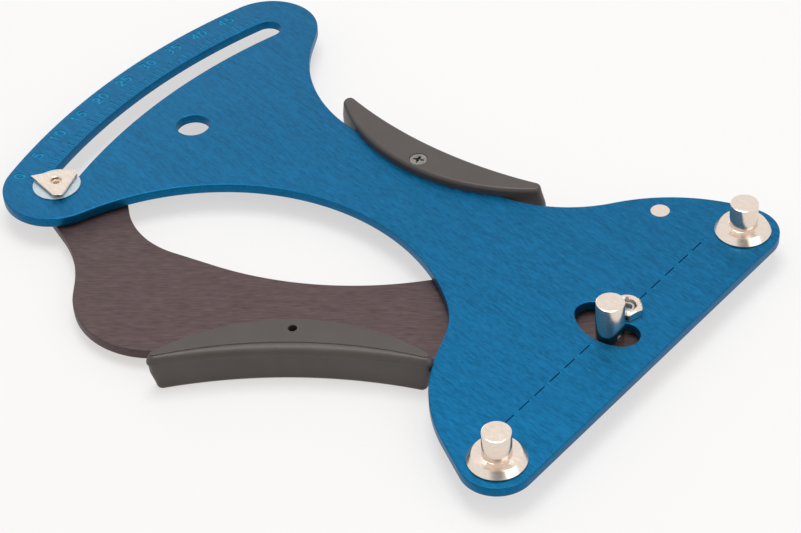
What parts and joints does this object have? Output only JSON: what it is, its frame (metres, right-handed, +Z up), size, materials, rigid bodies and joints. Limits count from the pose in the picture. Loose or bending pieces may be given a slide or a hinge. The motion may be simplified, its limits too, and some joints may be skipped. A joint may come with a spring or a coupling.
{
  "type": "spoke tension meter",
  "caption": "Hand-squeezed bicycle spoke tension meter with two pivoted plates, fixed and moving posts, an arc scale with a pointer and moulded grips.",
  "frame": {"origin": "on the pivot axis, at the flat end of the pivot screw's head, which is the level of the bench", "axes": "+X from the pivot towards the straight front edge with the fixed posts, so the scale is at -X; +Y towards the far post and the upper grip; +Z up, the way the posts point"},
  "size_m": [0.2091, 0.151, 0.0197],
  "materials": {
    "blue_anodised": "brushed and anodised blue",
    "dark_anodised": "brushed and anodised dark brown-grey",
    "plated_steel": "bright nickel plate",
    "dull_steel": "zinc plate",
    "spring_wire": "drawn spring wire",
    "bronze": "sintered bronze",
    "nylon": "natural nylon, slightly milky",
    "grip_plastic": "fine satin moulded plastic"
  },
  "bodies": {
    "frame": {"face_plate": "blue_anodised", "near_post": "plated_steel", "far_post": "plated_steel", "upper_grip": "grip_plastic", "upper_grip_screw": "plated_steel", "pivot_screw": "dull_steel", "pivot_bush": "bronze", "pivot_nut": "plated_steel", "spring_anchor": "plated_steel", "spring_clip": "dull_steel", "return_spring": "spring_wire"},
    "arm": {"arm_plate": "dark_anodised", "moving_post": "plated_steel", "lower_grip": "grip_plastic", "lower_grip_screw": "plated_steel", "spring_pin": "dull_steel", "pointer_screw": "dull_steel", "lower_slide_washer": "nylon", "guide_bush": "nylon", "upper_slide_washer": "nylon", "pointer": "plated_steel"}
  },
  "joints": [
    {"name": "squeeze", "type": "hinge", "parent": "frame", "child": "arm", "pos_m": [0, 0, 0.0041], "axis": [0, 0, -1], "range_deg": [0, 32], "stiffness_Nm_per_rad": 1.4, "springref_deg": -20.05, "deforming": ["return_spring"]}
  ]
}
